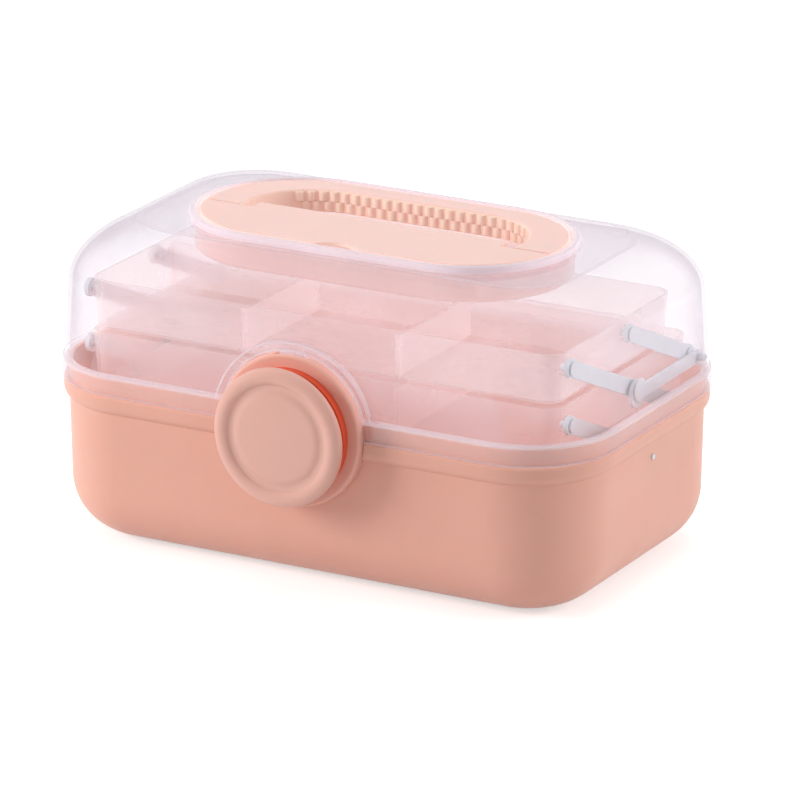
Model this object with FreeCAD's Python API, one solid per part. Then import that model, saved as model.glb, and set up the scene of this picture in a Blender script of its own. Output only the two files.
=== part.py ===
import FreeCAD, Part
import math
import os

# A first aid box: an opaque tub, a clear hinged lid with a folding carry handle in a well,
# a round push latch, and two trays that rise like a staircase as the lid opens.
# Frame: X along the box, Y towards the back, Z up, origin on the floor under the middle.
# All sizes are millimetres.

# Driving dimensions of the tub
HALF_X = 162.5
HALF_Y = 99.5
CORNER = 48.0
WALL = 2.5
FOOT_ROUND = 33.0
TUB_LEAN = 2.0
RIM_Z = 99.0
LIP_Z = (78.5, 89.0)
LIP_OUT = 2.7

# Driving dimensions of the lid
LID_WALL = 2.3
SKIRT_Z = (89.3, 101.0)
SKIRT_GAP = 1.3
SKIRT_WALL = 2.1
LID_OUT = 1.9
LID_SHOULDER_Z = 142.0
LID_TOP_Z = 175.0
TOP_FLAT = (130.0, 62.5, 34.0)
DOME_END = 78.0
DOME_STEPS = 18
LID_SHELF_Z = 99.6

# The lid's hinge, at the back
HINGE_Y = 105.5
HINGE_Z = 92.0
HINGE_X = (-80.0, 80.0)
KNUCKLE_R = 4.2
HINGE_PIN_R = 2.0

# The handle well, the carry handle and the flap over the small compartment
WELL_Y = -3.0
WELL_STRAIGHT = 53.5
COLLAR_R = 59.0
WELL_R = 55.8
WELL_WALL = 2.0
WELL_TOP_Z = 178.8
WELL_FLOOR_Z = 158.0
TOP_PLATE_R = 52.8
PARTITION_Y = -8.5
PARTITION_X = 83.4
HANDLE_AXIS = (0.0, 174.8)
HANDLE_FRONT_Y = -11.2
HANDLE_INNER_R = 39.5
HANDLE_INNER_STRAIGHT = 44.5
HANDLE_ARM_T = 8.0
GRIP_T = 13.0
RIB_PITCH = 6.5
RIB_COUNT = 23
RIB_R = 2.7
FLAP_AXIS = (-3.8, 175.0)
FLAP_T = 2.0
FLAP_LUG_X = 60.0
NOTCH_R = 16.0
NOTCH_DEPTH = 6.7

# The latch, a round cap that pushes in
LATCH_Z = 90.0
BOSS_R = 42.4
ARCH_R = 43.4
BAND_R = 48.5
BARREL_R = 35.5
BORE_R = 31.2
CAP_R = 38.4
STEM_R = 31.1
SEAT_Y = -101.5
RING_Y = -106.0
BARREL_Y = -111.0
CAP_BACK_Y = -117.2
CAP_INNER_Y = -118.0
CAP_FACE_Y = -122.3
STEM_END_Y = -107.0
LEVER_AXIS = (-107.5, 92.0)
CATCH_SLOT_Y = -104.9

# The trays and their arms, as points in the side view (Y, Z)
ARM_SWING = (71.0, -31.5)
UPPER_FRONT = (-66.5, 137.0)
UPPER_MID = (1.5, 137.0)
LOWER_FRONT = (-66.5, 105.5)
TRAY_HALF_X = 143.9
TRAY_CORNER = 11.0
TRAY_WALL = 1.8
UPPER_TRAY_BOX = ((-75.0, 61.0), (116.5, 144.6))
LOWER_TRAY_BOX = ((-76.0, 82.0), (84.5, 115.1))
DIVIDER_Y = 9.0
DIVIDER_T = 1.4
CROSS_X = (-47.0, 47.0)
ARM_X = (145.3, 147.7)
LINK_X = (149.2, 151.2)
BRACKET_X = (148.1, 150.7)
BRACKET_SCREW = (38.0, 70.5)
BRACKET_RIVET = (0.5, 70.5)
ARM_WIDTH = 9.0
ARM_EYE_R = 5.2
PIVOT_R = 2.0
RUN_GAP = 0.08
LINK_LID_POINT = (76.5, 103.0)
LINK_PIN_END_X = 155.2
LINK_LENGTH = 72.4
LINK_EYE_R = 7.8
LINK_HOLE_R = 5.0

LOWER_MID = (UPPER_FRONT[0] + ARM_SWING[0], UPPER_FRONT[1] + ARM_SWING[1])
LOWER_REAR = (UPPER_MID[0] + ARM_SWING[0], UPPER_MID[1] + ARM_SWING[1])
BASE_MID = (LOWER_FRONT[0] + ARM_SWING[0], LOWER_FRONT[1] + ARM_SWING[1])
BASE_REAR = (LOWER_MID[0] + ARM_SWING[0], LOWER_MID[1] + ARM_SWING[1])


# Small shape helpers

def point(x, y, z):
    return FreeCAD.Vector(x, y, z)


def box(x, y, z):
    """A box between two limits along each axis."""
    return Part.makeBox(x[1] - x[0], y[1] - y[0], z[1] - z[0], point(x[0], y[0], z[0]))


def rod_x(radius, x, y, z):
    """A round rod along X between two x limits."""
    return Part.makeCylinder(radius, x[1] - x[0], point(x[0], y, z), point(1, 0, 0))


def rod_y(radius, y, x=0.0, z=LATCH_Z):
    """A round rod along Y between two y limits."""
    return Part.makeCylinder(radius, y[1] - y[0], point(x, y[0], z), point(0, 1, 0))


def fuse(shapes):
    """All the shapes as one, without leftover seams."""
    return shapes[0].fuse(shapes[1:]).removeSplitter()


def mirror_x(shape):
    return shape.mirror(point(0, 0, 0), point(1, 0, 0))


def both_sides(shape):
    """The right-hand shape together with its mirror image."""
    return Part.makeCompound([shape, mirror_x(shape)])


def rounded_wire(half_x, half_y, radius, z, y_mid=0.0):
    """A rounded rectangle lying flat at height z."""
    edges = []
    inner_x = half_x - radius
    inner_y = half_y - radius
    corners = ((inner_x, -inner_y, -90), (inner_x, inner_y, 0), (-inner_x, inner_y, 90), (-inner_x, -inner_y, 180))

    def on_corner(corner, degrees):
        a = math.radians(corner[2] + degrees)
        return point(corner[0] + radius * math.cos(a), y_mid + corner[1] + radius * math.sin(a), z)

    for i, corner in enumerate(corners):
        edges.append(Part.Arc(on_corner(corner, 0), on_corner(corner, 45), on_corner(corner, 90)).toShape())
        following = corners[(i + 1) % 4]
        edges.append(Part.LineSegment(on_corner(corner, 90), on_corner(following, 0)).toShape())
    return Part.Wire(edges)


def skin(levels):
    """A solid through rounded rectangles given as (half x, half y, corner radius, z)."""
    return Part.makeLoft([rounded_wire(*level) for level in levels], True, True)


def profile_edges(path):
    """Edges through (out, z) places; a place with a third value is reached by an arc through that middle."""
    edges = []
    for start, end in zip(path, path[1:]):
        first = point(start[0], 0, start[1])
        last = point(end[0], 0, end[1])
        if len(end) == 3:
            edges.append(Part.Arc(first, point(end[2][0], 0, end[2][1]), last).toShape())
        else:
            edges.append(Part.LineSegment(first, last).toShape())
    return edges


def rounded_block(path):
    """A solid with the tub's plan shape, whose side follows a path measured out from the corner centres."""
    centre_x = HALF_X - CORNER
    centre_y = HALF_Y - CORNER
    closing = [(0, path[0][1])] + path + [(0, path[-1][1]), (0, path[0][1])]
    face = Part.Face(Part.Wire(profile_edges(closing)))
    pieces = [box((-centre_x, centre_x), (-centre_y, centre_y), (path[0][1], path[-1][1]))]
    for turn in range(4):
        side_x, side_y = ((1, 1), (-1, 1), (-1, -1), (1, -1))[turn]
        corner = face.revolve(point(0, 0, 0), point(0, 0, 1), 90)
        corner.rotate(point(0, 0, 0), point(0, 0, 1), 90 * turn)
        corner.translate(point(side_x * centre_x, side_y * centre_y, 0))
        run = 2 * (centre_y if turn % 2 == 0 else centre_x)
        side = face.extrude(point(0, run, 0))
        side.translate(point(centre_x if turn % 2 == 0 else centre_y, -run / 2, 0))
        side.rotate(point(0, 0, 0), point(0, 0, 1), 90 * turn)
        pieces += [corner, side]
    return fuse(pieces)


def stadium(straight, radius, z):
    """A straight-sided oval block round the well's middle, long in X, between two heights."""
    front = WELL_Y - radius
    back = WELL_Y + radius
    end = straight + radius
    edges = [
        Part.LineSegment(point(-straight, front, z[0]), point(straight, front, z[0])).toShape(),
        Part.Arc(point(straight, front, z[0]), point(end, WELL_Y, z[0]), point(straight, back, z[0])).toShape(),
        Part.LineSegment(point(straight, back, z[0]), point(-straight, back, z[0])).toShape(),
        Part.Arc(point(-straight, back, z[0]), point(-end, WELL_Y, z[0]), point(-straight, front, z[0])).toShape(),
    ]
    return Part.Face(Part.Wire(edges)).extrude(point(0, 0, z[1] - z[0]))


# The tub

def tub_lean(z):
    return TUB_LEAN * (1 - z / RIM_Z)


def tub_block(inset, top):
    """The tub's outside, or its inside set in by a wall: a round foot under nearly upright walls."""
    wall = CORNER - inset
    foot = FOOT_ROUND - inset
    foot_out = wall - tub_lean(FOOT_ROUND) - foot
    bend = (foot_out + foot * math.sqrt(0.5), FOOT_ROUND - foot * math.sqrt(0.5))
    path = [(foot_out, inset), (foot_out + foot, FOOT_ROUND, bend), (wall - tub_lean(top), top)]
    return rounded_block(path)


def lip_block():
    """The rounded lip that the lid's skirt closes on."""
    low, high = LIP_Z
    out = CORNER + LIP_OUT
    path = [(CORNER - 1.0, low - 0.4), (out, low + 6.0, (CORNER + 1.7, low + 2.0)),
            (out, high - 2.4), (CORNER + 1.4, high, (out - 0.3, high - 0.7))]
    return rounded_block(path)


def knuckle(x, foot):
    """A hinge barrel along X, joined to a foot, with a hole for the pin."""
    barrel = rod_x(KNUCKLE_R, x, HINGE_Y, HINGE_Z)
    return fuse([barrel, foot]).cut(rod_x(HINGE_PIN_R, (x[0] - 1, x[1] + 1), HINGE_Y, HINGE_Z))


def cavity():
    return tub_block(WALL, RIM_Z + 6)


def screw_places():
    """Where the latch's screws pass through the tub's front, as (x, z)."""
    return [(38 * math.sin(math.radians(a)), LATCH_Z - 38 * math.cos(math.radians(a))) for a in (-62, 0, 62)]


def base_tub():
    body = fuse([tub_block(0, RIM_Z), lip_block()])
    seat = rod_y(BOSS_R, (SEAT_Y, SEAT_Y + 2.9))
    seat_low = rod_y(BOSS_R, (SEAT_Y, SEAT_Y + 5)).common(box((-50, 50), (-110, -90), (0, RIM_Z - 0.5)))
    room = rod_y(BOSS_R + 0.6, (SEAT_Y - 5, SEAT_Y))
    tub = body.fuse([seat, seat_low]).cut(room).cut(cavity()).removeSplitter()
    tub = tub.cut(box((-10, 10), (-110, -90), (101.5, 140)))
    for x, z in screw_places():
        tub = tub.cut(rod_y(1.3, (-110, -90), x, z))
    for x in HINGE_X:
        foot = box((x - 9, x + 9), (HALF_Y - 1.0, HINGE_Y + 3.4), (LIP_Z[1] - 8, HINGE_Z - 1.5))
        foot = foot.cut(box((x - 9, x + 9), (HALF_Y - 2, HALF_Y + 1.9), (LIP_Z[1], HINGE_Z)))
        tub = tub.fuse(knuckle((x - 9, x + 9), foot))
    for hole in (rod_x(1.3, (150, 161.1), *BRACKET_SCREW), rod_x(1.3, (150, 165), *BRACKET_RIVET)):
        tub = tub.cut([hole, mirror_x(hole)])
    return tub.cut(cavity()).removeSplitter()


# The clear lid

def lid_dome(inset, top):
    """The domed top of the lid: from the upright walls up to the crease round the flat top."""
    half_x, half_y, corner = (HALF_X - 0.5, HALF_Y - 0.5, CORNER - 0.5)
    reach = 1 - math.cos(math.radians(DOME_END))
    rise = top - LID_SHOULDER_Z
    levels = []
    for step in range(DOME_STEPS + 1):
        a = math.radians(DOME_END * step / DOME_STEPS)
        share = (1 - math.cos(a)) / reach
        x = half_x - inset - share * (half_x - inset - TOP_FLAT[0])
        y = half_y - inset - share * (half_y - inset - TOP_FLAT[1])
        r = corner - inset - share * (corner - inset - TOP_FLAT[2])
        levels.append((x, y, r, LID_SHOULDER_Z + rise * math.sin(a) / math.sin(math.radians(DOME_END))))
    return skin(levels)


def lid_outside():
    skirt = CORNER + SKIRT_GAP + SKIRT_WALL
    low, high = SKIRT_Z
    path = [(skirt - 0.5, low), (skirt, low + 0.5), (skirt, high - 1.2), (skirt - 1.2, high, (skirt - 0.35, high - 0.35)),
            (CORNER + LID_OUT, high + 0.2), (CORNER - 0.5, LID_SHOULDER_Z)]
    return rounded_block(path).fuse(lid_dome(0, LID_TOP_Z))


def lid_inside(inset):
    """The room inside the lid above its shelf."""
    path = [(CORNER + LID_OUT - inset, LID_SHELF_Z - 1), (CORNER + LID_OUT - inset, SKIRT_Z[1]),
            (CORNER - 0.5 - inset, LID_SHOULDER_Z)]
    return rounded_block(path).fuse(lid_dome(inset, LID_TOP_Z - inset))


def arch_band():
    """The skirt's band as it climbs over the latch, with small hollow flares at its feet."""
    flare = 9.0
    front = -(HALF_Y + SKIRT_GAP + SKIRT_WALL)
    back = -(HALF_Y - 0.8)
    top_z = SKIRT_Z[1]
    flare_z = top_z + flare
    reach = math.sqrt((BAND_R + flare) ** 2 - (flare_z - LATCH_Z) ** 2)
    lean = math.atan2(flare_z - LATCH_Z, reach)
    touch = (BAND_R * math.cos(lean), LATCH_Z + BAND_R * math.sin(lean))

    def flare_mid(side):
        a = (math.radians(270) + math.pi + lean) / 2
        return point(side * (reach + flare * math.cos(a)), front, flare_z + flare * math.sin(a))

    low = SKIRT_Z[0] + 2
    edges = [
        Part.LineSegment(point(-reach, front, low), point(reach, front, low)).toShape(),
        Part.LineSegment(point(reach, front, low), point(reach, front, top_z)).toShape(),
        Part.Arc(point(reach, front, top_z), flare_mid(1), point(touch[0], front, touch[1])).toShape(),
        Part.Arc(point(touch[0], front, touch[1]), point(0, front, LATCH_Z + BAND_R),
                 point(-touch[0], front, touch[1])).toShape(),
        Part.Arc(point(-touch[0], front, touch[1]), flare_mid(-1), point(-reach, front, top_z)).toShape(),
        Part.LineSegment(point(-reach, front, top_z), point(-reach, front, low)).toShape(),
    ]
    return Part.Face(Part.Wire(edges)).extrude(point(0, back - front, 0))


def catch_tongue():
    """The tongue on the arch that drops into the latch, with the catch at its lower end."""
    tongue = box((-8, 8), (-103.6, -101.8), (109, 137))
    catch = box((-8, 8), (CATCH_SLOT_Y + 0.3, -103.5), (109, 112))
    return tongue.fuse(catch)


def lid_shell():
    room = rounded_block([(CORNER + SKIRT_GAP, SKIRT_Z[0] - 1), (CORNER + SKIRT_GAP, LID_SHELF_Z)])
    collar = stadium(WELL_STRAIGHT, COLLAR_R, (LID_TOP_Z - 1.5, LID_TOP_Z + 4.0))
    collar = collar.makeFillet(1.4, [e for e in collar.Edges if e.BoundBox.ZMin > LID_TOP_Z + 3.9])
    shell = lid_outside().fuse(arch_band()).cut([lid_inside(LID_WALL), room]).fuse(collar)
    shell = shell.cut(stadium(WELL_STRAIGHT, WELL_R, (LID_TOP_Z - 10, LID_TOP_Z + 10)))
    opening = rod_y(ARCH_R, (-112, -88))
    opening = opening.fuse(box((-ARCH_R, ARCH_R), (-112, -88), (80, LATCH_Z)))
    shell = shell.cut(opening).fuse(catch_tongue())
    rear = [box((-126, 126), (HALF_Y - 1, HALF_Y + 8), (SKIRT_Z[0] - 1, 90.4))]
    for x in HINGE_X:
        rear.append(box((x - 9.5, x + 9.5), (HALF_Y, HALF_Y + 12), (SKIRT_Z[0] - 1, HINGE_Z + 5.6)))
    shell = shell.cut(rear)
    for x in HINGE_X:
        for x0, x1 in ((x - 23, x - 9.5), (x + 9.5, x + 23)):
            foot = box((x0, x1), (HALF_Y + SKIRT_GAP + 0.4, HINGE_Y), (HINGE_Z - 1.4, HINGE_Z + 5.2))
            hole = rod_x(HINGE_PIN_R + RUN_GAP, (x0 - 1, x1 + 1), HINGE_Y, HINGE_Z)
            shell = shell.fuse(fuse([rod_x(KNUCKLE_R, (x0, x1), HINGE_Y, HINGE_Z), foot]).cut(hole))
            shell = shell.cut(hole)
    y, z = LINK_LID_POINT
    boss = rod_x(4.4, (LINK_X[1] + 0.3, 160), y, z).common(lid_inside(0.8))
    boss = boss.common(box((100, 200), (0, 100), (LID_SHELF_Z + 0.1, 120)))
    hole = rod_x(PIVOT_R, (LINK_X[0] - 1, LINK_PIN_END_X), y, z)
    for piece in (boss.cut(hole), mirror_x(boss.cut(hole))):
        shell = shell.fuse(piece)
    return shell.cut([hole, mirror_x(hole)]).removeSplitter()


def lid_link_pins():
    y, z = LINK_LID_POINT
    return both_sides(rod_x(PIVOT_R, (LINK_X[0] - 0.3, LINK_PIN_END_X), y, z))


def lid_hinge_pins():
    return Part.makeCompound([rod_x(HINGE_PIN_R, (x - 23, x + 23), HINGE_Y, HINGE_Z) for x in HINGE_X])


# The handle well and what folds into it

def handle_housing():
    outside = stadium(WELL_STRAIGHT, WELL_R, (WELL_FLOOR_Z, WELL_TOP_Z))
    outside = outside.makeFillet(3.0, [e for e in outside.Edges if e.BoundBox.ZMax < WELL_FLOOR_Z + 0.1])
    hollow = stadium(WELL_STRAIGHT, WELL_R - WELL_WALL, (WELL_FLOOR_Z + WELL_WALL, WELL_TOP_Z + 1))
    floor_z = WELL_FLOOR_Z + WELL_WALL
    inside = stadium(WELL_STRAIGHT, WELL_R - WELL_WALL, (floor_z, WELL_TOP_Z))
    walls = [box((-PARTITION_X, PARTITION_X), (PARTITION_Y - 1, PARTITION_Y + 1), (floor_z, 172.0))]
    for x in (-PARTITION_X, PARTITION_X - 2):
        walls.append(box((x, x + 2), (-60, PARTITION_Y + 1), (floor_z, 172.0)))
    for x in (-FLAP_LUG_X, FLAP_LUG_X):
        for x0, x1 in ((x - 7, x - 3.4), (x + 3.4, x + 7)):
            ear = box((x0, x1), (PARTITION_Y - 1, FLAP_AXIS[0] + 1.6), (floor_z, FLAP_AXIS[1]))
            walls.append(ear.fuse(rod_x(1.6, (x0, x1), *FLAP_AXIS)))
    walls = fuse(walls).common(inside)
    shell = outside.cut(hollow).fuse(walls)
    holes = [rod_x(1.0, (x - 7.5, x + 7.5), *FLAP_AXIS) for x in (-FLAP_LUG_X, FLAP_LUG_X)]
    for x0, x1 in ((-112, -104), (104, 112)):
        holes.append(rod_x(PIVOT_R, (x0, x1), *HANDLE_AXIS))
    return shell.cut(holes).removeSplitter()


def top_plate(z):
    return stadium(WELL_STRAIGHT, TOP_PLATE_R, z)


def grip_ribs():
    """Two staggered rows of half-round ribs along the finger side of the grip and round its bends."""
    ribs = []
    centre_r = HANDLE_INNER_R + RIB_R - 1.5
    for row, z in enumerate(((172.4, 177.4), (166.8, 171.8))):
        for i in range(RIB_COUNT - row):
            along = (i - (RIB_COUNT - row - 1) / 2) * RIB_PITCH
            x = max(-HANDLE_INNER_STRAIGHT, min(HANDLE_INNER_STRAIGHT, along))
            turn = (along - x) / HANDLE_INNER_R
            place = point(x + centre_r * math.sin(turn), WELL_Y + centre_r * math.cos(turn), z[0])
            ribs.append(Part.makeCylinder(RIB_R, z[1] - z[0], place))
    return ribs


def carry_handle():
    top = WELL_TOP_Z
    low = top - HANDLE_ARM_T
    behind = box((-120, 120), (HANDLE_FRONT_Y, 60), (low - 10, top + 1))
    band = top_plate((low, top)).common(behind)
    grip = top_plate((top - GRIP_T, low + 1)).common(box((-120, 120), (18, 60), (low - 10, top + 1)))
    handle = band.fuse(grip)
    window = stadium(HANDLE_INNER_STRAIGHT, HANDLE_INNER_R, (low - 10, top + 1))
    window = window.fuse(box((-84, 84), (-20, 0), (low - 10, top + 1)))
    handle = handle.cut(window).removeSplitter()
    outline = []
    for e in handle.Edges:
        b = e.BoundBox
        if b.ZMin > top - 0.1 and b.YMax > HANDLE_FRONT_Y + 0.1:
            outline.append(e)
    handle = handle.makeFillet(1.1, outline)
    handle = handle.fuse(grip_ribs()).removeSplitter()
    holes = [rod_x(PIVOT_R + RUN_GAP, x, *HANDLE_AXIS) for x in ((-110, -95), (95, 110))]
    return handle.cut(holes)


def handle_pins():
    return both_sides(rod_x(PIVOT_R, (95.5, 109.0), *HANDLE_AXIS))


def compartment_cover():
    z = (WELL_TOP_Z - FLAP_T, WELL_TOP_Z)
    plate = top_plate(z).common(box((-120, 120), (-60, -3.3), z))
    for x in ((-120, -76), (76, 120)):
        plate = plate.cut(box(x, (-12.5, 0), (z[0] - 1, z[1] + 1)))
    notch = Part.makeCylinder(NOTCH_R, 10, point(0, WELL_Y - TOP_PLATE_R + NOTCH_DEPTH - NOTCH_R, z[0] - 5))
    plate = plate.cut(notch)
    plate = plate.makeFillet(0.7, [e for e in plate.Edges if e.BoundBox.ZMin > z[1] - 0.05])
    for x in (-FLAP_LUG_X, FLAP_LUG_X):
        span = (x - 3.1, x + 3.1)
        lug = rod_x(1.6, span, *FLAP_AXIS).fuse(box(span, (FLAP_AXIS[0] - 1.6, FLAP_AXIS[0]), (FLAP_AXIS[1], z[0] + 0.5)))
        plate = plate.fuse(lug.cut(rod_x(1.0 + RUN_GAP, (x - 4, x + 4), *FLAP_AXIS)))
    return plate.removeSplitter()


def cover_pins():
    return Part.makeCompound([rod_x(1.0, (x - 7, x + 7), *FLAP_AXIS) for x in (-FLAP_LUG_X, FLAP_LUG_X)])


# The latch

def latch_base():
    ring = rod_y(BOSS_R, (RING_Y, SEAT_Y))
    ring = ring.makeFillet(1.8, [e for e in ring.Edges if e.BoundBox.YMax < RING_Y + 0.1])
    base = ring.fuse(rod_y(BARREL_R, (BARREL_Y, RING_Y + 1)))
    base = base.cut(rod_y(BORE_R, (BARREL_Y - 1, SEAT_Y - 1.5)))
    base = base.cut(box((-10, 10), (CATCH_SLOT_Y, -98), (108, 140)))
    for x in ((-13, -10), (10, 13)):
        ear = box(x, (-110, SEAT_Y - 1), (LEVER_AXIS[1] - 4, LEVER_AXIS[1] + 4))
        base = base.fuse(ear)
    holes = [rod_x(1.5, (-14, 14), *LEVER_AXIS)]
    holes += [rod_y(1.3, (RING_Y + 1.2, SEAT_Y + 1), x, z) for x, z in screw_places()]
    return base.cut(holes).removeSplitter()


def cap_arc(start, middle, end):
    """An arc of the cap's profile through three (radius, depth behind the face) places."""
    return Part.Arc(*[point(r, CAP_FACE_Y + depth, 0) for r, depth in (start, middle, end)]).toShape()


def latch_button():
    """The round cap: a raised outer ring, a groove, and a plain inner disc, over a stem that slides."""
    profile = [
        cap_arc((0, 1.0), (11, 1.05), (22, 1.25)),
        cap_arc((22, 1.25), (23.9, 1.5), (25.2, 1.95)),
        cap_arc((25.2, 1.95), (27.4, 2.5), (29.6, 1.95)),
        cap_arc((29.6, 1.95), (33.2, 0), (36.2, 0.7)),
        cap_arc((36.2, 0.7), (37.8, 1.9), (CAP_R, 3.8)),
    ]
    rest = [(CAP_R, CAP_BACK_Y), (35.2, CAP_BACK_Y), (35.2, CAP_INNER_Y), (0, CAP_INNER_Y), (0, CAP_FACE_Y + 1.0)]
    last = (CAP_R, CAP_FACE_Y + 3.8)
    for nxt in rest:
        profile.append(Part.LineSegment(point(last[0], last[1], 0), point(nxt[0], nxt[1], 0)).toShape())
        last = nxt
    cap = Part.Face(Part.Wire(profile)).revolve(point(0, 0, 0), point(0, 1, 0), 360)
    cap.translate(point(0, 0, LATCH_Z))
    stem = rod_y(STEM_R, (CAP_INNER_Y - 0.5, STEM_END_Y)).cut(rod_y(STEM_R - 2.4, (CAP_INNER_Y, -104)))
    stem = stem.cut(box((-11, 11), (-112, -100), (100, 140)))
    push = box((-6, 6), (CAP_INNER_Y - 0.5, -109.8), (71.2, 72.8))
    posts = [rod_y(2.2, (CAP_INNER_Y - 0.5, -113.0), x, LATCH_Z) for x in (-20, 20)]
    return fuse([cap, stem, push] + posts)


def latch_lever():
    """The lever inside the latch: pushing its foot in swings its hook out from over the catch."""
    y, z = LEVER_AXIS
    plate = box((-7.5, 7.5), (-109.2, -107.2), (z - 20, z + 23.2))
    hook = box((-7.5, 7.5), (-109.2, CATCH_SLOT_Y), (z + 20.6, z + 23.2))
    hub = rod_x(3.0, (-9.6, 9.6), y, z)
    return fuse([plate, hook, hub]).cut(rod_x(1.5 + RUN_GAP, (-10, 10), y, z))


def lever_pin():
    return rod_x(1.5, (-13, 13), *LEVER_AXIS)


def latch_springs():
    """The two return springs behind the cap, as plain sleeves of their outer size."""
    sleeves = []
    for x in (-20, 20):
        sleeve = rod_y(3.6, (CAP_INNER_Y + 0.1, SEAT_Y - 1.6), x, LATCH_Z)
        sleeves.append(sleeve.cut(rod_y(2.5, (CAP_INNER_Y - 1, SEAT_Y), x, LATCH_Z)))
    return Part.makeCompound(sleeves)


def latch_screws():
    screws = []
    for x, z in screw_places():
        head_y = -(HALF_Y - tub_lean(z) - WALL) + 0.4
        shank = rod_y(1.3, (RING_Y + 1.2, head_y), x, z)
        screws.append(shank.fuse(rod_y(2.8, (head_y, head_y + 1.8), x, z)))
    return Part.makeCompound(screws)


# The trays, their dividers and the linkage at each end

def tray(limits, bosses):
    """An open tray with leaning walls, and a boss on each end for every pivot."""
    (y0, y1), (z0, z1) = limits
    middle = (y0 + y1) / 2
    half_y = (y1 - y0) / 2
    lean = 1.6

    def level(inset, z):
        return rounded_wire(TRAY_HALF_X - inset, half_y - inset, TRAY_CORNER - inset / 2, z, middle)

    outside = Part.makeLoft([level(lean + 2.2, z0), level(lean, z0 + 2.2), level(0, z1)], True, True)
    inside = Part.makeLoft([level(lean + TRAY_WALL, z0 + TRAY_WALL), level(TRAY_WALL, z1 + 0.1)], True, True)
    body = outside
    for y, z in bosses:
        boss = rod_x(4.6, (TRAY_HALF_X - 4, ARM_X[0] - 0.4), y, z)
        body = body.fuse([boss, mirror_x(boss)])
    body = body.cut(inside)
    for y, z in bosses:
        hole = rod_x(PIVOT_R, (TRAY_HALF_X - 6, ARM_X[0] + 1), y, z)
        body = body.cut([hole, mirror_x(hole)])
    return body.removeSplitter()


def guide_ribs(x, y, z, along_x):
    """A pair of ribs that a divider's edge slides down between."""
    pair = []
    for side in (-1, 1):
        gap = side * 1.4
        if along_x:
            pair.append(box((x - 1.6, x + 1.6), (y + gap - 0.5, y + gap + 0.5), z))
        else:
            pair.append(box((x + gap - 0.5, x + gap + 0.5), (y - 1.6, y + 1.6), z))
    return pair


def upper_tray():
    (y0, y1), (z0, z1) = UPPER_TRAY_BOX
    body = tray(UPPER_TRAY_BOX, [UPPER_FRONT, UPPER_MID])
    ribs = []
    for x in (-TRAY_HALF_X + 3.2, TRAY_HALF_X - 3.2):
        ribs += guide_ribs(x, DIVIDER_Y, (z0 + 1, z1 - 3), True)
    for x in CROSS_X:
        ribs += guide_ribs(x, y0 + 3.2, (z0 + 1, z1 - 3), False)
    return fuse([body] + ribs)


def lower_tray():
    (y0, y1), (z0, z1) = LOWER_TRAY_BOX
    body = tray(LOWER_TRAY_BOX, [LOWER_FRONT, LOWER_MID, LOWER_REAR])
    ribs = []
    for x in CROSS_X:
        for y in (y0 + 3.2, y1 - 3.2):
            ribs += guide_ribs(x, y, (z0 + 1, z1 - 3), False)
    return fuse([body] + ribs)


def upper_long_divider():
    (y0, y1), (z0, z1) = UPPER_TRAY_BOX
    half = TRAY_HALF_X - TRAY_WALL - 1.9
    y = (DIVIDER_Y - DIVIDER_T / 2, DIVIDER_Y + DIVIDER_T / 2)
    return box((-half, half), y, (z0 + TRAY_WALL, z1 - 1.0))


def upper_cross_dividers():
    (y0, y1), (z0, z1) = UPPER_TRAY_BOX
    y = (y0 + TRAY_WALL + 1.9, DIVIDER_Y - DIVIDER_T / 2)
    plates = [box((x - DIVIDER_T / 2, x + DIVIDER_T / 2), y, (z0 + TRAY_WALL, z1 - 4.0)) for x in CROSS_X]
    return Part.makeCompound(plates)


def lower_cross_dividers():
    (y0, y1), (z0, z1) = LOWER_TRAY_BOX
    y = (y0 + TRAY_WALL + 1.9, y1 - TRAY_WALL - 1.9)
    plates = [box((x - DIVIDER_T / 2, x + DIVIDER_T / 2), y, (z0 + TRAY_WALL, z1 - 3.0)) for x in CROSS_X]
    return Part.makeCompound(plates)


def bar(ends, x, width, eyes):
    """A flat bar along a line in the side view, with a round eye at each given point."""
    (y0, z0), (y1, z1) = ends
    length = math.hypot(y1 - y0, z1 - z0)
    plate = Part.makeBox(x[1] - x[0], length, width, point(x[0], 0, -width / 2))
    plate.rotate(point(0, 0, 0), point(1, 0, 0), math.degrees(math.atan2(z1 - z0, y1 - y0)))
    plate.translate(point(0, y0, z0))
    rounds = [rod_x(r, x, y, z) for (y, z), r, hole in eyes]
    holes = [rod_x(hole, (x[0] - 1, x[1] + 1), y, z) for (y, z), r, hole in eyes]
    return fuse([plate] + rounds).cut(holes)


def arm(points):
    """A tray arm with a running fit on a pin at each point."""
    eyes = [(p, ARM_EYE_R, PIVOT_R + RUN_GAP) for p in points]
    return bar((points[0], points[-1]), ARM_X, ARM_WIDTH, eyes)


def long_arm():
    return arm([UPPER_FRONT, LOWER_MID, BASE_REAR])


def upper_arm():
    return arm([UPPER_MID, LOWER_REAR])


def lower_arm():
    return arm([LOWER_FRONT, BASE_MID])


def lid_link():
    """The link that lifts the trays: a close hole at the lid, a wide one round the lower tray's pin."""
    y, z = LINK_LID_POINT
    far = (y - LINK_LENGTH, z)
    eyes = [((y, z), 3.6, PIVOT_R + RUN_GAP), (far, LINK_EYE_R, LINK_HOLE_R)]
    return bar(((y, z), far), LINK_X, 7.0, eyes)


def rivet(place, inner_x, outer_x, head_r=3.6):
    """A pin through an arm with a thin head on its outer end."""
    y, z = place
    return rod_x(PIVOT_R, (inner_x, outer_x), y, z).fuse(rod_x(head_r, (outer_x - 0.9, outer_x), y, z))


def upper_tray_pins():
    right = [rivet(p, TRAY_HALF_X - 2.5, ARM_X[1] + 1.1) for p in (UPPER_FRONT, UPPER_MID)]
    return both_sides(Part.makeCompound(right))


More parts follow.
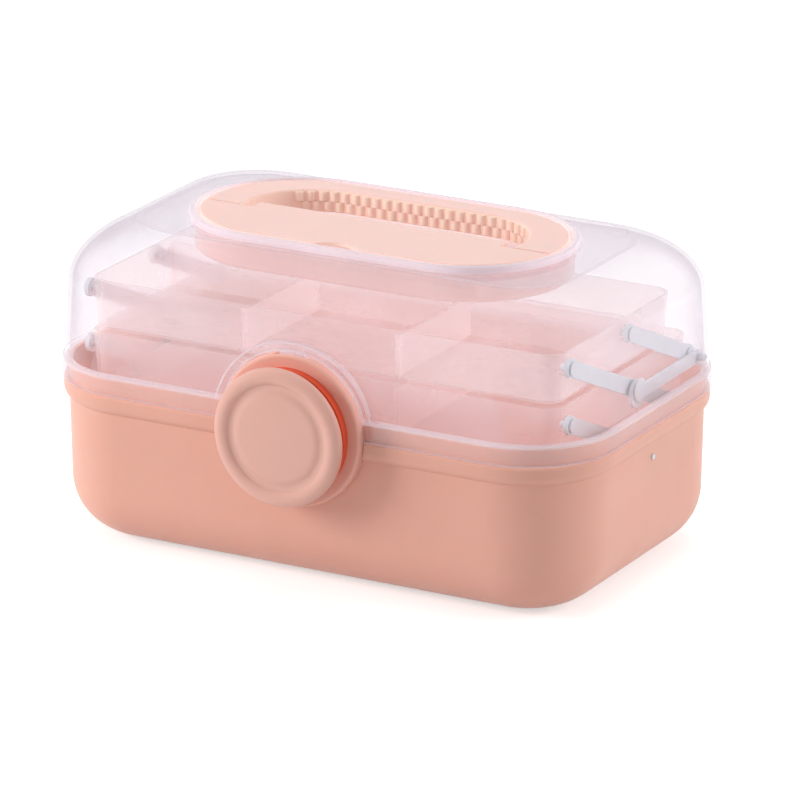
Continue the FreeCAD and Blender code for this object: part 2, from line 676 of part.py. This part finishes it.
def lower_tray_pins():
    right = [rivet(p, TRAY_HALF_X - 2.5, ARM_X[1] + 1.1) for p in (LOWER_FRONT, LOWER_REAR)]
    right.append(rivet(LOWER_MID, TRAY_HALF_X - 2.5, LINK_X[1] + 1.2, 6.4))
    return both_sides(Part.makeCompound(right))


def arm_bracket():
    """The bracket on the tub's end wall that carries the lowest arms."""
    x0, x1 = BRACKET_X
    z0, z1 = 64.0, 80.0
    front = BASE_MID[0] - 9
    plate = box((x0, x1), (front, BASE_REAR[0] + 6), (z0, z1))
    shelf = box((x0, 162), (front, 50), (z0, z0 + 2.4))
    flange = box((157.0, 162), (front, 50), (z0, z1 - 3))
    body = fuse([plate, shelf, flange]).common(cavity())
    holes = [rod_x(PIVOT_R, (x0 - 1, x1 + 1), *p) for p in (BASE_MID, BASE_REAR)]
    holes += [rod_x(1.3, (150, 165), *place) for place in (BRACKET_SCREW, BRACKET_RIVET)]
    return body.cut(holes)


def bracket_screws():
    shank = rod_x(1.3, (157.0, 161.1), *BRACKET_SCREW)
    return both_sides(shank.fuse(rod_x(2.6, (155.4, 157.0), *BRACKET_SCREW)))


def bracket_rivets():
    """A rivet through each end wall, with a small round head showing outside."""
    outside_x = HALF_X - tub_lean(BRACKET_RIVET[1] + 1.7)
    shank = rod_x(1.3, (157.0, outside_x), *BRACKET_RIVET)
    inner_head = rod_x(2.6, (155.4, 157.0), *BRACKET_RIVET)
    outer_head = rod_x(1.7, (outside_x, outside_x + 0.9), *BRACKET_RIVET)
    outer_head = outer_head.makeFillet(0.6, [e for e in outer_head.Edges if e.BoundBox.XMin > outside_x + 0.8])
    return both_sides(fuse([inner_head, shank, outer_head]))


def base_arm_pins():
    right = []
    for y, z in (BASE_MID, BASE_REAR):
        pin = rod_x(PIVOT_R, (ARM_X[0] - 1.2, BRACKET_X[1]), y, z)
        right.append(pin.fuse(rod_x(3.4, (ARM_X[0] - 1.2, ARM_X[0] - 0.3), y, z)))
    return both_sides(Part.makeCompound(right))


def write(name, shape):
    """Saves one node, and prints its solids, volume and health."""
    solids = len(shape.Solids)
    print(f"{name}: {solids} solid(s), {shape.Volume / 1000:.2f} cm3, valid {shape.isValid()}")
    shape.exportStep(f"parts/{name}.step")


def main():
    os.makedirs("parts", exist_ok=True)
    single = (base_tub, lid_shell, lid_hinge_pins, lid_link_pins, handle_housing, carry_handle, handle_pins,
              compartment_cover, cover_pins, latch_base, latch_button, latch_lever, lever_pin, latch_springs,
              latch_screws, lower_tray, upper_tray, upper_long_divider, upper_cross_dividers,
              lower_cross_dividers, upper_tray_pins, lower_tray_pins, bracket_screws, bracket_rivets, base_arm_pins)
    for make in single:
        write(make.__name__, make())
    for make in (long_arm, upper_arm, lower_arm, lid_link, arm_bracket):
        right = make()
        write(make.__name__ + "_right", right)
        write(make.__name__ + "_left", mirror_x(right))


main()
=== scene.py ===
import math

import bpy
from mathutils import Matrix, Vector

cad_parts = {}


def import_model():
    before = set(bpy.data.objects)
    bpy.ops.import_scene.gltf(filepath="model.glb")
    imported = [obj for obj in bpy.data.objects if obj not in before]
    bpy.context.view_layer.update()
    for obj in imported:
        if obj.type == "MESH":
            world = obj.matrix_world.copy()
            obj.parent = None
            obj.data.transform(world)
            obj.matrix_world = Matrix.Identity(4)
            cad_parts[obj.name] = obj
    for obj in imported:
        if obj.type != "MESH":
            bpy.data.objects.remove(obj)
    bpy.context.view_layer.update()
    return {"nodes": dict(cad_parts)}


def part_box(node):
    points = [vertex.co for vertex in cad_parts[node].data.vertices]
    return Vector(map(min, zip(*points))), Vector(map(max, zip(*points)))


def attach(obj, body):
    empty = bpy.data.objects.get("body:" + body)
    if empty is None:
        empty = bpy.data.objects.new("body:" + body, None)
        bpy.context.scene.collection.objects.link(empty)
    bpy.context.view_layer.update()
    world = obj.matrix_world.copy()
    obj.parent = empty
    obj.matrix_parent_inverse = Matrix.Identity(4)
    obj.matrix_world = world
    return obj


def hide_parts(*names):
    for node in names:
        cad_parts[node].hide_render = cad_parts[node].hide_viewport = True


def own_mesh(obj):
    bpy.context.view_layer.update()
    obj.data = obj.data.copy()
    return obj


# A first aid box: peach tub, clear lid, folding handle, round latch, two rising trays.
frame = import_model()
nodes = frame["nodes"]

# Camera, at the photograph's viewing angle
CAMERA_AZIMUTH = math.radians(28.86)
CAMERA_ELEVATION = math.radians(18.48)
CAMERA_DISTANCE = 3.440
CAMERA_TARGET = (0.0, 0.0, 0.0816)
CAMERA_LENS = 284.3
CAMERA_SHIFT = (0.01734, -0.01173)
SENSOR_WIDTH = 36.0

# Lamps: place, what each is aimed at, size in metres, watts and spread in degrees
LAMPS = {
    "key": ((-1.25, -0.95, 0.6), (-0.25, -0.1, 0.06), 0.8, 2.4, 60.0),
    "side": ((1.7, 1.0, 0.7), CAMERA_TARGET, 1.0, 18.0, 180.0),
    "top": ((0.0, 0.3, 2.4), CAMERA_TARGET, 1.4, 12.0, 180.0),
}

# Floor and studio
FLOOR_SIZE = 60.0
FLOOR_DEPTH = -0.0004
FLOOR_GREY = (0.82, 0.81, 0.81, 1.0)
FLOOR_GLOW = 0.52
SKY_TINT = (1.0, 0.985, 0.98, 1.0)
SKY_STRENGTH = 0.48
WHITE = (1.0, 1.0, 1.0, 1.0)

# Colours, as the photograph shows them
PEACH = (228, 173, 155)
LATCH_PEACH = (226, 177, 163)
LATCH_RING = (238, 180, 164)
# painted orange glow for the shaded gap round the latch's barrel
LATCH_GAP_PAINTED_GLOW = (228, 88, 54)
HANDLE_PEACH = (252, 211, 202)
# painted glow lightening the handle's and flap's shaded sides and slot
HANDLE_SIDES_PAINTED_GLOW = (255, 226, 212)
WELL_PINK = (255, 238, 235)
# painted pink glow from the peach tub on the trays' lower parts
TRAY_PAINTED_PINK_GLOW = (255, 226, 220)
ARM_GREY = (223, 225, 232)
TRAY_WHITE = (254, 246, 247)
LID_WHITE = (238, 234, 242)
STEEL_GREY = (190, 192, 196)

# What the clear pieces let through, square on and at their edges
LID_TINTS = ((0.982, 0.981, 0.987, 1.0), (0.74, 0.71, 0.77, 1.0))
WELL_TINTS = ((0.995, 0.97, 0.967, 1.0), (0.95, 0.85, 0.84, 1.0))
TRAY_TINTS = ((0.99, 0.972, 0.975, 1.0), (0.90, 0.87, 0.88, 1.0))

# How milky the clear pieces are, square on and at their edges
LID_HAZE = (0.05, 0.24)
WELL_HAZE = (0.36, 0.62)
TRAY_HAZE = (0.20, 0.45)

# How much of a lamp's light goes on through a face of a clear piece, and how many faces sight may pass
LAMP_WINDOW = (0.998, 0.994, 0.994, 1.0)
CLEAR_FACES = 48

# Moulded grain: how fine it is per metre, and its depth in metres
GRAIN_SCALE = 1500.0
GRAIN_DEPTH = 0.00003
FINE_GRAIN_DEPTH = 0.00002
WAVE_SCALE = 90.0
WAVE_DEPTH = 0.00001

# How light spreads inside the opaque plastic
PLASTIC_IOR = 1.48
GLOW_RADIUS = (1.0, 0.4, 0.25)
GLOW_SCALE = 0.006

# Where the lid's moulded edges lie in the CAD frame, in metres
SKIRT_TOP = (0.0993, 0.1014)
SKIRT_FOOT = 0.0903
FRONT_OF_LID = -0.0997
ARCH_MIDDLE = (0.0, 0.0, 0.090)
ARCH_INNER = (0.0430, 0.0442)
ARCH_OUTER = (0.0474, 0.0490)
CREASE = (0.1744, 0.17495)
FLAT_TOP = 0.17495
COLLAR = 0.1752

# How white each of those edges is painted: a painted highlight, partly the milkier thick plastic there
EDGE_PAINTED_WHITE = {
    "skirt top": 0.55,
    "skirt foot": 0.35,
    "in front": 0.2,
    "arch": 0.6,
    "crease": 0.45,
    "flat top": 0.25,
    "collar": 0.75,
}

# Where painted light changes a piece's colour: a painted orange glow on the latch's barrel in the gap, a
# painted glow on the handle's and flap's shaded sides, a painted pink glow from the tub on the trays'
# lower parts
LATCH_RING_FRONT = -0.1062
HANDLE_TOP = 0.1782
TRAY_PAINTED_GLOW_HEIGHTS = (0.090, 0.124)

# The latch's two coil springs
SPRING_TURNS = 6
STEPS_PER_TURN = 20
WIRE_RADIUS = 0.00045

# A Mix node's colour sockets
MIX_FIRST = 6
MIX_SECOND = 7
MIX_RESULT = 2


def linear(rgb):
    """A colour from 0 to 255 as the render's own linear values."""
    def channel(value):
        value /= 255
        return value / 12.92 if value <= 0.04045 else ((value + 0.055) / 1.055) ** 2.4
    return (*map(channel, rgb), 1.0)


# Node helpers

def new_material(name):
    material = bpy.data.materials.new(name)
    material.use_nodes = True
    material.node_tree.nodes.clear()
    return material, material.node_tree


def add(tree, kind, **values):
    """Adds a node; a value whose name is an input's, with _ for a space, is set on that input."""
    node = tree.nodes.new(kind)
    for key, value in values.items():
        socket = key.replace("_", " ")
        if socket in node.inputs:
            node.inputs[socket].default_value = value
        else:
            setattr(node, key, value)
    return node


def feed(tree, value, socket):
    """Gives a socket its value, which is another node's output or a constant."""
    if isinstance(value, bpy.types.NodeSocket):
        tree.links.new(value, socket)
    else:
        socket.default_value = value


def object_place(tree):
    """The place on the piece in metres."""
    return add(tree, "ShaderNodeTexCoord").outputs["Object"]


def noise(tree, scale, detail=3.0, roughness=0.55):
    """Noise laid over the piece in metres."""
    texture = add(tree, "ShaderNodeTexNoise", Scale=scale, Detail=detail, Roughness=roughness)
    feed(tree, object_place(tree), texture.inputs["Vector"])
    return texture.outputs["Fac"]


def spread(tree, source, low, high, start=0.3, end=0.7):
    """Maps a value's range, the middle of a noise unless told otherwise, to another range."""
    ramp = add(tree, "ShaderNodeMapRange", From_Min=start, From_Max=end, To_Min=low, To_Max=high)
    feed(tree, source, ramp.inputs["Value"])
    return ramp.outputs["Result"]


def calculate(tree, operation, first, second):
    """One sum on two values, each a number or a socket."""
    node = add(tree, "ShaderNodeMath", operation=operation)
    feed(tree, first, node.inputs[0])
    feed(tree, second, node.inputs[1])
    return node.outputs[0]


def blend_colours(tree, source, first, second):
    """A colour that goes from the first to the second as the source goes from 0 to 1."""
    mix = add(tree, "ShaderNodeMix", data_type="RGBA")
    feed(tree, source, mix.inputs["Factor"])
    feed(tree, first, mix.inputs[MIX_FIRST])
    feed(tree, second, mix.inputs[MIX_SECOND])
    return mix.outputs[MIX_RESULT]


def two_tones(tree, source, colour, shade):
    """A colour that drifts between full and slightly darker with a noise."""
    darker = tuple(channel * shade for channel in colour[:3]) + (1.0,)
    return blend_colours(tree, source, colour, darker)


def grazing(tree, low, high, power):
    """A value that climbs from low, seen square on, to high at the edges."""
    edge = add(tree, "ShaderNodeLayerWeight", Blend=0.5)
    climb = calculate(tree, "POWER", edge.outputs["Facing"], power)
    return spread(tree, climb, low, high, 0.0, 1.0)


def grain(tree, scale, depth, strength):
    """A fine moulded texture as a normal; depth is in metres."""
    bump = add(tree, "ShaderNodeBump", Strength=strength, Distance=depth)
    feed(tree, noise(tree, scale, 4.0), bump.inputs["Height"])
    return bump.outputs["Normal"]


def mix_shaders(tree, factor, first, second):
    """Two shaders mixed by a number or by a socket."""
    mix = add(tree, "ShaderNodeMixShader")
    feed(tree, factor, mix.inputs["Fac"])
    feed(tree, first, mix.inputs[1])
    feed(tree, second, mix.inputs[2])
    return mix.outputs["Shader"]


def finish_material(tree, surface):
    out = add(tree, "ShaderNodeOutputMaterial")
    feed(tree, surface, out.inputs["Surface"])


# Places on a piece, each as a value of one inside and nought outside

def position(tree):
    """The place on the piece in metres, as separate X, Y and Z."""
    parts = add(tree, "ShaderNodeSeparateXYZ")
    feed(tree, object_place(tree), parts.inputs["Vector"])
    return parts.outputs


def distance_round_y(tree, middle):
    """How far the place lies from a line along Y through the middle."""
    offset = add(tree, "ShaderNodeVectorMath", operation="SUBTRACT")
    feed(tree, object_place(tree), offset.inputs[0])
    feed(tree, middle, offset.inputs[1])
    flat = add(tree, "ShaderNodeVectorMath", operation="MULTIPLY")
    feed(tree, offset.outputs["Vector"], flat.inputs[0])
    feed(tree, (1.0, 0.0, 1.0), flat.inputs[1])
    length = add(tree, "ShaderNodeVectorMath", operation="LENGTH")
    feed(tree, flat.outputs["Vector"], length.inputs[0])
    return length.outputs["Value"]


def above(tree, value, limit):
    return calculate(tree, "GREATER_THAN", value, limit)


def below(tree, value, limit):
    return calculate(tree, "LESS_THAN", value, limit)


def between(tree, value, limits):
    return calculate(tree, "MULTIPLY", above(tree, value, limits[0]), below(tree, value, limits[1]))


def strongest(tree, edges):
    """The largest of several places, each times how white its painted highlight is."""
    whites = [calculate(tree, "MULTIPLY", place, EDGE_PAINTED_WHITE[name]) for name, place in edges.items()]
    largest = whites[0]
    for white in whites[1:]:
        largest = calculate(tree, "MAXIMUM", largest, white)
    return largest


def lid_painted_edge_highlights(tree):
    """Where painted highlights whiten the clear lid's moulded edges, partly as the milkier thick plastic
    there: its skirt, arch, crease and collar.
    """
    place = position(tree)
    y = place["Y"]
    z = place["Z"]
    in_front = calculate(tree, "MULTIPLY", below(tree, y, FRONT_OF_LID), above(tree, z, SKIRT_TOP[0]))
    from_latch = distance_round_y(tree, ARCH_MIDDLE)
    inner = between(tree, from_latch, ARCH_INNER)
    outer = between(tree, from_latch, ARCH_OUTER)
    rings = calculate(tree, "MAXIMUM", inner, outer)
    return strongest(tree, {
        "skirt top": between(tree, z, SKIRT_TOP),
        "skirt foot": below(tree, z, SKIRT_FOOT),
        "in front": in_front,
        "arch": calculate(tree, "MULTIPLY", rings, in_front),
        "crease": between(tree, z, CREASE),
        "flat top": above(tree, z, FLAT_TOP),
        "collar": above(tree, z, COLLAR),
    })


# A painted orange glow goes on the latch's barrel, in the gap in front of its ring
def painted_glow_on_latch_barrel(tree):
    return below(tree, position(tree)["Y"], LATCH_RING_FRONT)


# A painted glow goes on the handle's and flap's sides, below their top faces
def painted_glow_on_handle_sides(tree):
    return below(tree, position(tree)["Z"], HANDLE_TOP)


# Materials

def plastic(name, colour, roughness, depth=GRAIN_DEPTH, glow=0.0, other=None, where=None):
    """Moulded opaque plastic with a fine grain and slightly uneven colour and gloss.

    The other colour, where given, shows in the places that where finds; the latch barrel and the handle's
    sides take a painted glow this way."""
    material, tree = new_material(name)
    shader = add(tree, "ShaderNodeBsdfPrincipled", IOR=PLASTIC_IOR, Subsurface_Weight=glow,
                 Subsurface_Radius=GLOW_RADIUS, Subsurface_Scale=GLOW_SCALE)
    base = two_tones(tree, spread(tree, noise(tree, 22.0), 0.0, 1.0), linear(colour), 0.96)
    if where:
        base = blend_colours(tree, where(tree), base, linear(other))
    gloss = spread(tree, noise(tree, 60.0), roughness * 0.9, roughness * 1.12)
    feed(tree, base, shader.inputs["Base Color"])
    feed(tree, gloss, shader.inputs["Roughness"])
    feed(tree, grain(tree, GRAIN_SCALE, depth, 0.35), shader.inputs["Normal"])
    finish_material(tree, shader.outputs["BSDF"])
    return material


def clear_part(tree, tints):
    """The part of a thin clear plastic that sight goes through."""
    clear = add(tree, "ShaderNodeBsdfTransparent")
    feed(tree, blend_colours(tree, grazing(tree, 0.0, 1.0, 3.0), *tints), clear.inputs["Color"])
    return clear.outputs["BSDF"]


def milky_part(tree, colour):
    """The cloudy part, which is lit from both sides."""
    front_lit = add(tree, "ShaderNodeBsdfDiffuse")
    back_lit = add(tree, "ShaderNodeBsdfTranslucent")
    feed(tree, colour, front_lit.inputs["Color"])
    feed(tree, colour, back_lit.inputs["Color"])
    return mix_shaders(tree, 0.5, front_lit.outputs["BSDF"], back_lit.outputs["BSDF"])


def glossy_part(tree, roughness):
    """The surface's gloss, slightly uneven and wavy."""
    gloss = add(tree, "ShaderNodeBsdfGlossy", Color=WHITE)
    uneven = spread(tree, noise(tree, 40.0), roughness * 0.8, roughness * 1.25)
    feed(tree, uneven, gloss.inputs["Roughness"])
    feed(tree, grain(tree, WAVE_SCALE, WAVE_DEPTH, 0.1), gloss.inputs["Normal"])
    return gloss.outputs["BSDF"]


def see_through(name, colour, tints, haze, roughness, whiter=None, lower=None):
    """Thin clear plastic: tinted, hazier and glossier towards its edges, and milky where whiter finds it,
    which on the lid is a painted highlight.

    The lower colour, where given, is a painted pink glow from the peach tub, laid on the milk at the foot
    of the piece."""
    material, tree = new_material(name)
    milk_colour = linear(colour)
    if lower:
        height = spread(tree, position(tree)["Z"], 0.0, 1.0, *TRAY_PAINTED_GLOW_HEIGHTS)
        milk_colour = blend_colours(tree, height, linear(lower), milk_colour)
    milkiness = grazing(tree, *haze, 2.5)
    if whiter:
        milkiness = calculate(tree, "MAXIMUM", milkiness, whiter(tree))
    hazy = mix_shaders(tree, milkiness, clear_part(tree, tints), milky_part(tree, milk_colour))
    surface = mix_shaders(tree, grazing(tree, 0.035, 0.7, 5.0), hazy, glossy_part(tree, roughness))
    window = add(tree, "ShaderNodeBsdfTransparent", Color=LAMP_WINDOW)
    shadow = add(tree, "ShaderNodeLightPath").outputs["Is Shadow Ray"]
    finish_material(tree, mix_shaders(tree, shadow, surface, window.outputs["BSDF"]))
    return material


def brushed_metal(name, colour, roughness):
    """Drawn steel with fine streaks along the piece."""
    material, tree = new_material(name)
    shader = add(tree, "ShaderNodeBsdfPrincipled", Metallic=1.0)
    stretch = add(tree, "ShaderNodeMapping", Scale=(120.0, 2600.0, 2600.0))
    streaks = add(tree, "ShaderNodeTexNoise", Scale=1.0, Detail=3.0)
    feed(tree, object_place(tree), stretch.inputs["Vector"])
    feed(tree, stretch.outputs["Vector"], streaks.inputs["Vector"])
    tones = two_tones(tree, streaks.outputs["Fac"], linear(colour), 0.85)
    gloss = spread(tree, streaks.outputs["Fac"], roughness * 0.8, roughness * 1.3)
    feed(tree, tones, shader.inputs["Base Color"])
    feed(tree, gloss, shader.inputs["Roughness"])
    finish_material(tree, shader.outputs["BSDF"])
    return material


# The pieces

def dress(material, *names):
    """Gives CAD nodes their material."""
    for name in names:
        slots = nodes[name].data.materials
        for i in range(len(slots)):
            slots[i] = material
        if not len(slots):
            slots.append(material)


def spring_wire(low, high):
    """The wires of two springs along Y, at the left and right ends of the box from low to high."""
    radius = (high[2] - low[2]) / 2 - WIRE_RADIUS
    first_y = low[1] + WIRE_RADIUS
    last_y = high[1] - WIRE_RADIUS
    count = SPRING_TURNS * STEPS_PER_TURN
    wire = bpy.data.curves.new("spring_wire", "CURVE")
    wire.dimensions = "3D"
    wire.bevel_depth = WIRE_RADIUS
    wire.use_fill_caps = True
    for middle_x in (low[0] + radius + WIRE_RADIUS, high[0] - radius - WIRE_RADIUS):
        spline = wire.splines.new("POLY")
        spline.points.add(count)
        for i, point in enumerate(spline.points):
            turn = math.tau * i / STEPS_PER_TURN
            x = middle_x + radius * math.cos(turn)
            y = first_y + (last_y - first_y) * i / count
            z = (low[2] + high[2]) / 2 + radius * math.sin(turn)
            point.co = (x, y, z, 1.0)
    return wire


def return_springs(material):
    """The coil springs behind the cap, in place of the plain sleeves."""
    low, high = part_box("latch_springs")
    wire = spring_wire(low, high)
    mesh = bpy.data.meshes.new_from_object(bpy.data.objects.new("spring_wire", wire))
    bpy.data.curves.remove(wire)
    mesh.name = "return_springs"
    mesh.shade_smooth()
    mesh.materials.append(material)
    springs = bpy.data.objects.new("return_springs", mesh)
    bpy.context.scene.collection.objects.link(springs)
    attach(springs, "base")
    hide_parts("latch_springs")
    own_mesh(springs)


def opaque_pieces():
    dress(plastic("peach_plastic", PEACH, 0.42, glow=0.25), "base_tub")
    dress(plastic("latch_plastic", LATCH_PEACH, 0.40, glow=0.2), "latch_button", "latch_lever")
    # The latch base's barrel gets a painted orange glow
    ring = plastic("latch_base_plastic", LATCH_RING, 0.40, glow=0.2, other=LATCH_GAP_PAINTED_GLOW,
                   where=painted_glow_on_latch_barrel)
    dress(ring, "latch_base")
    # The handle's and flap's sides get a painted glow
    handle = plastic("handle_plastic", HANDLE_PEACH, 0.38, glow=0.3, other=HANDLE_SIDES_PAINTED_GLOW,
                     where=painted_glow_on_handle_sides)
    dress(handle, "carry_handle", "compartment_cover")


def linkage():
    arms = plastic("arm_plastic", ARM_GREY, 0.35, FINE_GRAIN_DEPTH)
    for name in ("long_arm", "upper_arm", "lower_arm", "lid_link", "arm_bracket"):
        dress(arms, f"{name}_left", f"{name}_right")
    dress(arms, "upper_tray_pins", "lower_tray_pins", "base_arm_pins", "bracket_rivets")


def clear_pieces():
    dress(see_through("well_plastic", WELL_PINK, WELL_TINTS, WELL_HAZE, 0.2), "handle_housing")
    # The lid's moulded edges get painted highlights
    lid = see_through("clear_plastic", LID_WHITE, LID_TINTS, LID_HAZE, 0.06, whiter=lid_painted_edge_highlights)
    dress(lid, "lid_shell")
    # The trays' milk gets a painted pink glow near their feet
    trays = see_through("tray_plastic", TRAY_WHITE, TRAY_TINTS, TRAY_HAZE, 0.3, lower=TRAY_PAINTED_PINK_GLOW)
    dress(trays, "lower_tray", "upper_tray", "upper_long_divider", "upper_cross_dividers",
          "lower_cross_dividers")


def steel_pieces():
    steel = brushed_metal("pin_steel", STEEL_GREY, 0.3)
    dress(steel, "lid_hinge_pins", "lid_link_pins", "handle_pins", "cover_pins", "lever_pin",
          "latch_springs", "latch_screws", "bracket_screws")
    return_springs(steel)


# Floor, light and camera

def seen_directly(tree):
    """One where the surface is seen by eye, in a reflection or through glass, else nought."""
    path = add(tree, "ShaderNodeLightPath").outputs
    eye = calculate(tree, "MAXIMUM", path["Is Camera Ray"], path["Is Glossy Ray"])
    return calculate(tree, "MAXIMUM", eye, path["Is Transmission Ray"])


def floor():
    bpy.ops.mesh.primitive_plane_add(size=FLOOR_SIZE, location=(0, 0, FLOOR_DEPTH))
    plane = bpy.context.object
    plane.name = "floor"
    material, tree = new_material("pale_floor")
    plain = add(tree, "ShaderNodeBsdfDiffuse", Color=FLOOR_GREY)
    glow = add(tree, "ShaderNodeEmission", Color=WHITE, Strength=FLOOR_GLOW)
    both = add(tree, "ShaderNodeAddShader")
    feed(tree, plain.outputs["BSDF"], both.inputs[0])
    feed(tree, glow.outputs["Emission"], both.inputs[1])
    shown = mix_shaders(tree, seen_directly(tree), plain.outputs["BSDF"], both.outputs["Shader"])
    finish_material(tree, shown)
    plane.data.materials.append(material)


def world():
    sky = bpy.data.worlds.new("studio")
    bpy.context.scene.world = sky
    sky.use_nodes = True
    tree = sky.node_tree
    tree.nodes.clear()
    soft = add(tree, "ShaderNodeBackground", Color=SKY_TINT, Strength=SKY_STRENGTH)
    white = add(tree, "ShaderNodeBackground", Color=WHITE, Strength=1.0)
    out = add(tree, "ShaderNodeOutputWorld")
    shown = mix_shaders(tree, seen_directly(tree), soft.outputs["Background"], white.outputs["Background"])
    feed(tree, shown, out.inputs["Surface"])


def aim(thing, target):
    """Turns a lamp or the camera to face a point."""
    direction = Vector(target) - Vector(thing.location)
    thing.rotation_euler = direction.to_track_quat("-Z", "Y").to_euler()


def lamp(name, place, target, size, watts, spread_degrees):
    """A soft square lamp; a narrow spread keeps its light on what it is aimed at."""
    data = bpy.data.lights.new(name, "AREA")
    data.energy = watts
    data.size = size
    data.spread = math.radians(spread_degrees)
    lamp_object = bpy.data.objects.new(name, data)
    bpy.context.scene.collection.objects.link(lamp_object)
    lamp_object.location = place
    lamp_object.visible_glossy = False
    aim(lamp_object, target)


def camera():
    data = bpy.data.cameras.new("camera")
    data.lens = CAMERA_LENS
    data.sensor_width = SENSOR_WIDTH
    data.shift_x, data.shift_y = CAMERA_SHIFT
    data.clip_end = 100.0
    eye = bpy.data.objects.new("camera", data)
    bpy.context.scene.collection.objects.link(eye)
    flat = CAMERA_DISTANCE * math.cos(CAMERA_ELEVATION)
    eye.location = (CAMERA_TARGET[0] + flat * math.sin(CAMERA_AZIMUTH),
                    CAMERA_TARGET[1] - flat * math.cos(CAMERA_AZIMUTH),
                    CAMERA_TARGET[2] + CAMERA_DISTANCE * math.sin(CAMERA_ELEVATION))
    aim(eye, CAMERA_TARGET)
    bpy.context.scene.camera = eye


opaque_pieces()
linkage()
clear_pieces()
steel_pieces()
floor()
world()
for lamp_name, settings in LAMPS.items():
    lamp(lamp_name, *settings)
camera()
bpy.context.scene.cycles.transparent_max_bounces = CLEAR_FACES
bpy.context.scene.view_settings.view_transform = "Standard"
